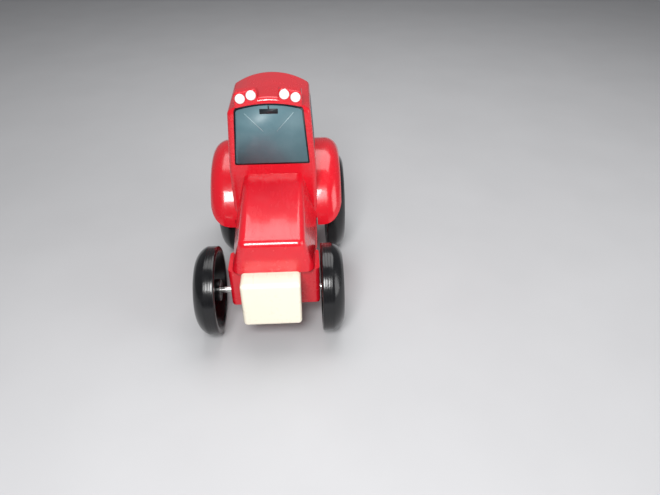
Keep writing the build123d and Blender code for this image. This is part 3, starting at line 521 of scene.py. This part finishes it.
def flank_corners(radius):
    """Swelling flank between the tread and the face."""
    corners = []
    for step in range(1, FLANK_STEPS):
        share = step / FLANK_STEPS
        swell = 4 * FLANK_BULGE * share * (1 - share)
        x = WHEEL_TREAD + WHEEL_FLANK * share + swell
        corners.append((x, radius - WHEEL_FLANK * share + swell, 0.0))
    return corners


def face_corners(radius):
    """Lip, dish and hub of the outer face."""
    rim = radius - WHEEL_FLANK
    dish_x = WHEEL_FACE_X - DISH_DEPTH
    hub_x = WHEEL_FACE_X - HUB_SINK
    recess_x = WHEEL_FACE_X - RECESS_DEPTH
    return [
        (WHEEL_FACE_X, rim, 0.35),
        (WHEEL_FACE_X, rim - LIP_WIDTH, 0.25),
        (dish_x, rim - DISH_WALL, 0.4),
        (dish_x, HUB_FOOT, 0.4),
        (hub_x, HUB_TOP, 0.3),
        (hub_x, RECESS_RADIUS, 0.15),
        (recess_x, RECESS_RADIUS, 0.1),
        (recess_x, WHEEL_BORE, 0.0),
    ]


def wheel_profile(radius):
    """Section of a wheel: hollow back, grooved tread, broad flank and dished face."""
    corners = back_corners(radius) + tread_corners(radius)
    corners += flank_corners(radius) + face_corners(radius)
    points = [(x, distance) for x, distance, _ in corners]
    return rounded(points, [rounding for _, _, rounding in corners])


def make_wheels():
    """The four wheels, each in place of its CAD node."""
    for end, axle in (("front", "front_axle"), ("rear", "half_axle_left")):
        axle_y, axle_z = middle(axle)[1:]
        material = wheel_plastic(f"{end}_wheel_plastic", axle_y, axle_z)
        profile = wheel_profile(axle_z)
        for side, word in SIDES:
            node = f"{end}_wheel_{word}"
            low, high = node_box(node)
            inner_x = low[0] if side > 0 else high[0]
            mesh = lathe(profile, (inner_x, axle_y, axle_z), side)
            body = node if end == "front" else f"rear_drive_{word}"
            finish_piece(mesh, f"{node}_look", body, material, (node,))


# ---------------------------------------------------------------- windows
# heights are measured outwards from the back face of a window's plate
WINDOW_THICKNESS = 0.5
PLATE_DEPTH = 0.47
PANE_LIFT = 0.3
PANE_DEPTH = 0.2
MIRROR_LIFT = 0.45
MIRROR_DEPTH = 0.07
GLARE_LINE_LIFT = 0.48
GLARE_LINE_DEPTH = 0.03
OUTLINE_WIDTH = 0.5            # black edge round each pane
SCREEN_INSET = 0.05            # plate of the windscreen inside its drawn outline
WINDOW_CORNER = 1.55           # side and rear windows
PANE_CORNER = 1.15
SIDE_LEAN = 1.3 / 18.0         # the cab's sides lean in by 1.3 over a height of 18

# windscreen: heights above the ground, half widths, rise of its top edge, corner radii
SCREEN_BOTTOM = 41.9
SCREEN_TOP = 59.3
SCREEN_LOW_HALF = 11.2
SCREEN_HIGH_HALF = 9.8
SCREEN_ARCH = 1.4
SCREEN_ARCH_STEPS = 14
SCREEN_LOW_CORNER = 0.4
SCREEN_HIGH_CORNER = 1.2

MIRROR_HALF = 2.6
MIRROR_TOP = SCREEN_TOP - 0.1
MIRROR_BOTTOM = MIRROR_TOP - 1.5
MIRROR_CORNER = 0.15
STEM_HALF = 0.2
STEM_TOP = MIRROR_TOP + 0.9
# corners of the right-hand painted glare line, a painted reflection: distance from the middle, drop
# below the screen's top
GLARE_LINE_CORNERS = ((7.0, 1.4), (6.86, 1.28), (1.9, 6.8), (2.02, 6.92))


def panel_mesh(outline, place, depth):
    """Thin plate: an outline of (across, up) points, placed by a function of those and a height."""
    mesh = bmesh.new()
    front = [mesh.verts.new(place(across, up, depth)) for across, up in outline]
    back = [mesh.verts.new(place(across, up, 0)) for across, up in outline]
    mesh.faces.new(front)
    mesh.faces.new(list(reversed(back)))
    count = len(outline)
    for index in range(count):
        after = (index + 1) % count
        mesh.faces.new((front[index], back[index], back[after], front[after]))
    bmesh.ops.recalc_face_normals(mesh, faces=mesh.faces)
    return mesh


def raised(place, lift):
    """The same placing function, further out by a lift."""
    return lambda across, up, height: place(across, up, height + lift)


def rectangle(half, bottom, top):
    """Corners of an upright rectangle about the middle line."""
    return [(-half, top), (-half, bottom), (half, bottom), (half, top)]


def finish_window(node, outline, inner, place):
    """A printed window: a black plate with a pane of the inner outline standing just proud."""
    plate = panel_mesh(outline, place, PLATE_DEPTH)
    finish_piece(plate, f"{node}_outline", "body", OUTLINE_INK, (node,))
    pane = panel_mesh(inner, raised(place, PANE_LIFT), PANE_DEPTH)
    finish_piece(pane, f"{node}_pane", "body", PANE_INK)


def screen_outline(inset):
    """Windscreen outline of (x, z) points with an arched top, pulled in by the inset."""
    bottom = SCREEN_BOTTOM + inset
    top = SCREEN_TOP - inset
    low = SCREEN_LOW_HALF - inset
    high = SCREEN_HIGH_HALF - inset
    arch_radius = (high * high + SCREEN_ARCH * SCREEN_ARCH) / (2 * SCREEN_ARCH)
    top_corner = SCREEN_HIGH_CORNER - inset / 2
    points = [(-high, top), (-low, bottom), (low, bottom), (high, top)]
    radii = [top_corner, SCREEN_LOW_CORNER, SCREEN_LOW_CORNER, top_corner]
    for step in range(1, SCREEN_ARCH_STEPS):
        x = high * (1 - 2 * step / SCREEN_ARCH_STEPS)
        z = top + SCREEN_ARCH - arch_radius + math.sqrt(arch_radius * arch_radius - x * x)
        points.append((x, z))
        radii.append(0)
    return rounded(points, radii)


def screen_place(x, z, height):
    """Point of the windscreen, a height forward of its back face."""
    return (mm(x), mm(SCREEN_BACK_Y - height), mm(z))


def make_mirror():
    """Printed mirror and its stem on the windscreen."""
    place = raised(screen_place, MIRROR_LIFT)
    outline = rounded(rectangle(MIRROR_HALF, MIRROR_BOTTOM, MIRROR_TOP), [MIRROR_CORNER] * 4)
    mirror = panel_mesh(outline, place, MIRROR_DEPTH)
    finish_piece(mirror, "windscreen_mirror", "body", MIRROR_INK)
    stem = panel_mesh(rectangle(STEM_HALF, MIRROR_TOP, STEM_TOP), place, MIRROR_DEPTH)
    finish_piece(stem, "windscreen_mirror_stem", "body", MIRROR_INK)


def make_windscreen():
    """Printed windscreen with its mirror and two faint lines of painted glare, a painted reflection."""
    plate = screen_outline(SCREEN_INSET)
    finish_window("windscreen", plate, screen_outline(OUTLINE_WIDTH), screen_place)
    make_mirror()
    for side, word in SIDES:
        # each pale line is painted glare, a painted reflection standing just proud of the pane
        corners = [(side * x, SCREEN_TOP - drop) for x, drop in GLARE_LINE_CORNERS]
        line = panel_mesh(corners, raised(screen_place, GLARE_LINE_LIFT), GLARE_LINE_DEPTH)
        finish_piece(line, f"windscreen_glare_line_{word}", "body", GLARE_LINE_INK)


def window_outlines(half, bottom, top):
    """Outlines of a plain window's plate and of the pane inside its black edge."""
    edge = OUTLINE_WIDTH
    plate = rounded(rectangle(half, bottom, top), [WINDOW_CORNER] * 4)
    pane = rounded(rectangle(half - edge, bottom + edge, top - edge), [PANE_CORNER] * 4)
    return plate, pane


def side_place(side, low, high):
    """Placing function of a side window, which leans in with the cab's side."""
    base = high[0] if side > 0 else -low[0]
    middle_y = (low[1] + high[1]) / 2

    def place(across, up, height):
        x = base - WINDOW_THICKNESS - SIDE_LEAN * (up - low[2]) + height
        return (mm(side * x), mm(middle_y + across), mm(up))

    return place


def make_side_windows():
    """Side windows in the windscreen's print."""
    for side, word in SIDES:
        node = f"side_window_{word}"
        low, high = node_box(node)
        plate, pane = window_outlines((high[1] - low[1]) / 2, low[2], high[2])
        finish_window(node, plate, pane, side_place(side, low, high))


def make_rear_window():
    """Rear window in the same print."""
    low, high = node_box("rear_window")

    def place(across, up, height):
        return (mm(across), mm(low[1] + height), mm(up))

    plate, pane = window_outlines(high[0], low[2], high[2])
    finish_window("rear_window", plate, pane, place)


# ---------------------------------------------------------------- stage and light
FLOOR_HALF = 3000
FLOOR_GREYS = ((0.3, (0.50, 0.50, 0.51)), (0.7, (0.52, 0.52, 0.53)))

# name, place, target and width in millimetres, and power in watts
LIGHTS = (
    ("key", (-20, -190, 190), (0, -5, 30), 80, 0.55),
    ("overhead", (40, 120, 380), (0, 0, 20), 300, 0.9),
    ("fill", (300, -150, 120), (0, 0, 20), 200, 0.4),
)
WORLD_GREY = (0.80, 0.81, 0.84, 1)
WORLD_STRENGTH = 0.25


def make_stage():
    """Plain pale floor."""
    mesh = bmesh.new()
    bmesh.ops.create_grid(mesh, x_segments=1, y_segments=1, size=mm(FLOOR_HALF))
    data = bpy.data.meshes.new("floor")
    mesh.to_mesh(data)
    mesh.free()
    material, nodes, links, shader = new_material("floor_pale")
    grain = noise(nodes, links, coordinates(nodes), scale=30)
    links.new(ramp(nodes, links, grain, FLOOR_GREYS), shader.inputs["Base Color"])
    set_inputs(shader, Roughness=0.9)
    data.materials.append(material)
    floor = bpy.data.objects.new("floor", data)
    bpy.context.collection.objects.link(floor)


def area_light(name, place, target, width, power):
    """Square white area light at a place, aimed at a target."""
    data = bpy.data.lights.new(name, "AREA")
    data.size = mm(width)
    data.energy = power
    light = bpy.data.objects.new(name, data)
    start = Vector([mm(v) for v in place])
    aim = Vector([mm(v) for v in target]) - start
    light.rotation_mode = "QUATERNION"
    light.rotation_quaternion = aim.to_track_quat("-Z", "Y")
    light.location = start
    bpy.context.collection.objects.link(light)


def make_lights():
    """Soft key just left of the camera, a broad overhead light and a weak fill."""
    for light in LIGHTS:
        area_light(*light)
    world = bpy.data.worlds.new("studio")
    world.use_nodes = True
    background = world.node_tree.nodes["Background"]
    set_inputs(background, Color=WORLD_GREY, Strength=WORLD_STRENGTH)
    bpy.context.scene.world = world


# plain display curve, so that the saturated red isn't washed out
bpy.context.scene.view_settings.view_transform = "Standard"

make_camera()
make_stage()
make_lights()
dress_nodes()
make_wheels()
make_windscreen()
make_side_windows()
make_rear_window()
